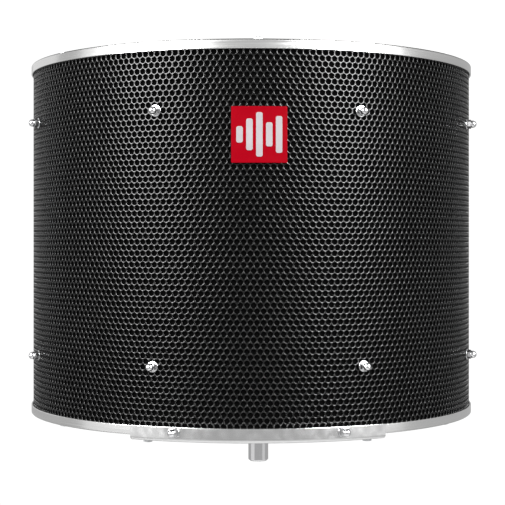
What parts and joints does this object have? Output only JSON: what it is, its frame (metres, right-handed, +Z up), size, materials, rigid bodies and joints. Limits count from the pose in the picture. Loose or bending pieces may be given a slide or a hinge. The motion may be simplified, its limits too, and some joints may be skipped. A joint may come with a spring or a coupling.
{
  "type": "microphone isolation shield",
  "caption": "Half-round perforated acoustic panel with wool layers between polished end trays, on a bracket and spigot, to stand behind a microphone.",
  "frame": {"origin": "centre of the spigot's flat lower face", "axes": "+X to the right seen from the rounded side, -Y the way the rounded side faces, +Z up along the spigot and the swivel axis"},
  "size_m": [0.406, 0.2078, 0.34],
  "materials": {
    "black_coat": "black powder coat on perforated sheet, fine satin grain",
    "polished_rim": "polished aluminium, bright with soft reflections",
    "chrome": "bright chrome plate",
    "zinc_steel": "zinc-plated steel fasteners and threaded rod",
    "wool": "black felted wool blanket, matt and fibrous",
    "foil": "aluminium foil barrier, slightly crinkled",
    "badge_red": "glossy red badge with a plain white level-bars emblem"
  },
  "bodies": {
    "mount": {"spigot": "chrome", "spigot_washer": "chrome", "spigot_jam_nut": "zinc_steel", "centre_rod": "zinc_steel", "centre_rod_nut": "zinc_steel"},
    "shield": {"outer_grille": "black_coat", "inner_grille": "black_coat", "left_end_channel": "black_coat", "right_end_channel": "black_coat", "top_cap": "polished_rim", "bottom_cap": "polished_rim", "outer_wool": "wool", "inner_wool": "wool", "foil_barrier": "foil", "badge": "badge_red", "stand_bracket": "chrome", "tie_rod_1": "zinc_steel", "tie_rod_top_nut_1": "zinc_steel", "tie_rod_bottom_nut_1": "zinc_steel", "tie_rod_2": "zinc_steel", "tie_rod_top_nut_2": "zinc_steel", "tie_rod_bottom_nut_2": "zinc_steel", "tie_rod_3": "zinc_steel", "tie_rod_top_nut_3": "zinc_steel", "tie_rod_bottom_nut_3": "zinc_steel", "tie_rod_4": "zinc_steel", "tie_rod_top_nut_4": "zinc_steel", "tie_rod_bottom_nut_4": "zinc_steel", "cross_bolt_1": "zinc_steel", "dome_nut_1": "chrome", "dome_washer_1": "chrome", "cross_bolt_2": "zinc_steel", "dome_nut_2": "chrome", "dome_washer_2": "chrome", "cross_bolt_3": "zinc_steel", "dome_nut_3": "chrome", "dome_washer_3": "chrome", "cross_bolt_4": "zinc_steel", "dome_nut_4": "chrome", "dome_washer_4": "chrome", "cross_bolt_5": "zinc_steel", "dome_nut_5": "chrome", "dome_washer_5": "chrome", "cross_bolt_6": "zinc_steel", "dome_nut_6": "chrome", "dome_washer_6": "chrome", "cross_bolt_7": "zinc_steel", "dome_nut_7": "chrome", "dome_washer_7": "chrome", "cross_bolt_8": "zinc_steel", "dome_nut_8": "chrome", "dome_washer_8": "chrome", "left_bracket_stud": "zinc_steel", "left_bracket_dome_nut": "chrome", "left_bracket_washer": "chrome", "right_bracket_stud": "zinc_steel", "right_bracket_dome_nut": "chrome", "right_bracket_washer": "chrome"}
  },
  "joints": [
    {"name": "shield_swivel", "type": "hinge", "parent": "mount", "child": "shield", "pos_m": [0, 0, 0.0105], "axis": [0, 0, 1], "continuous": true}
  ]
}
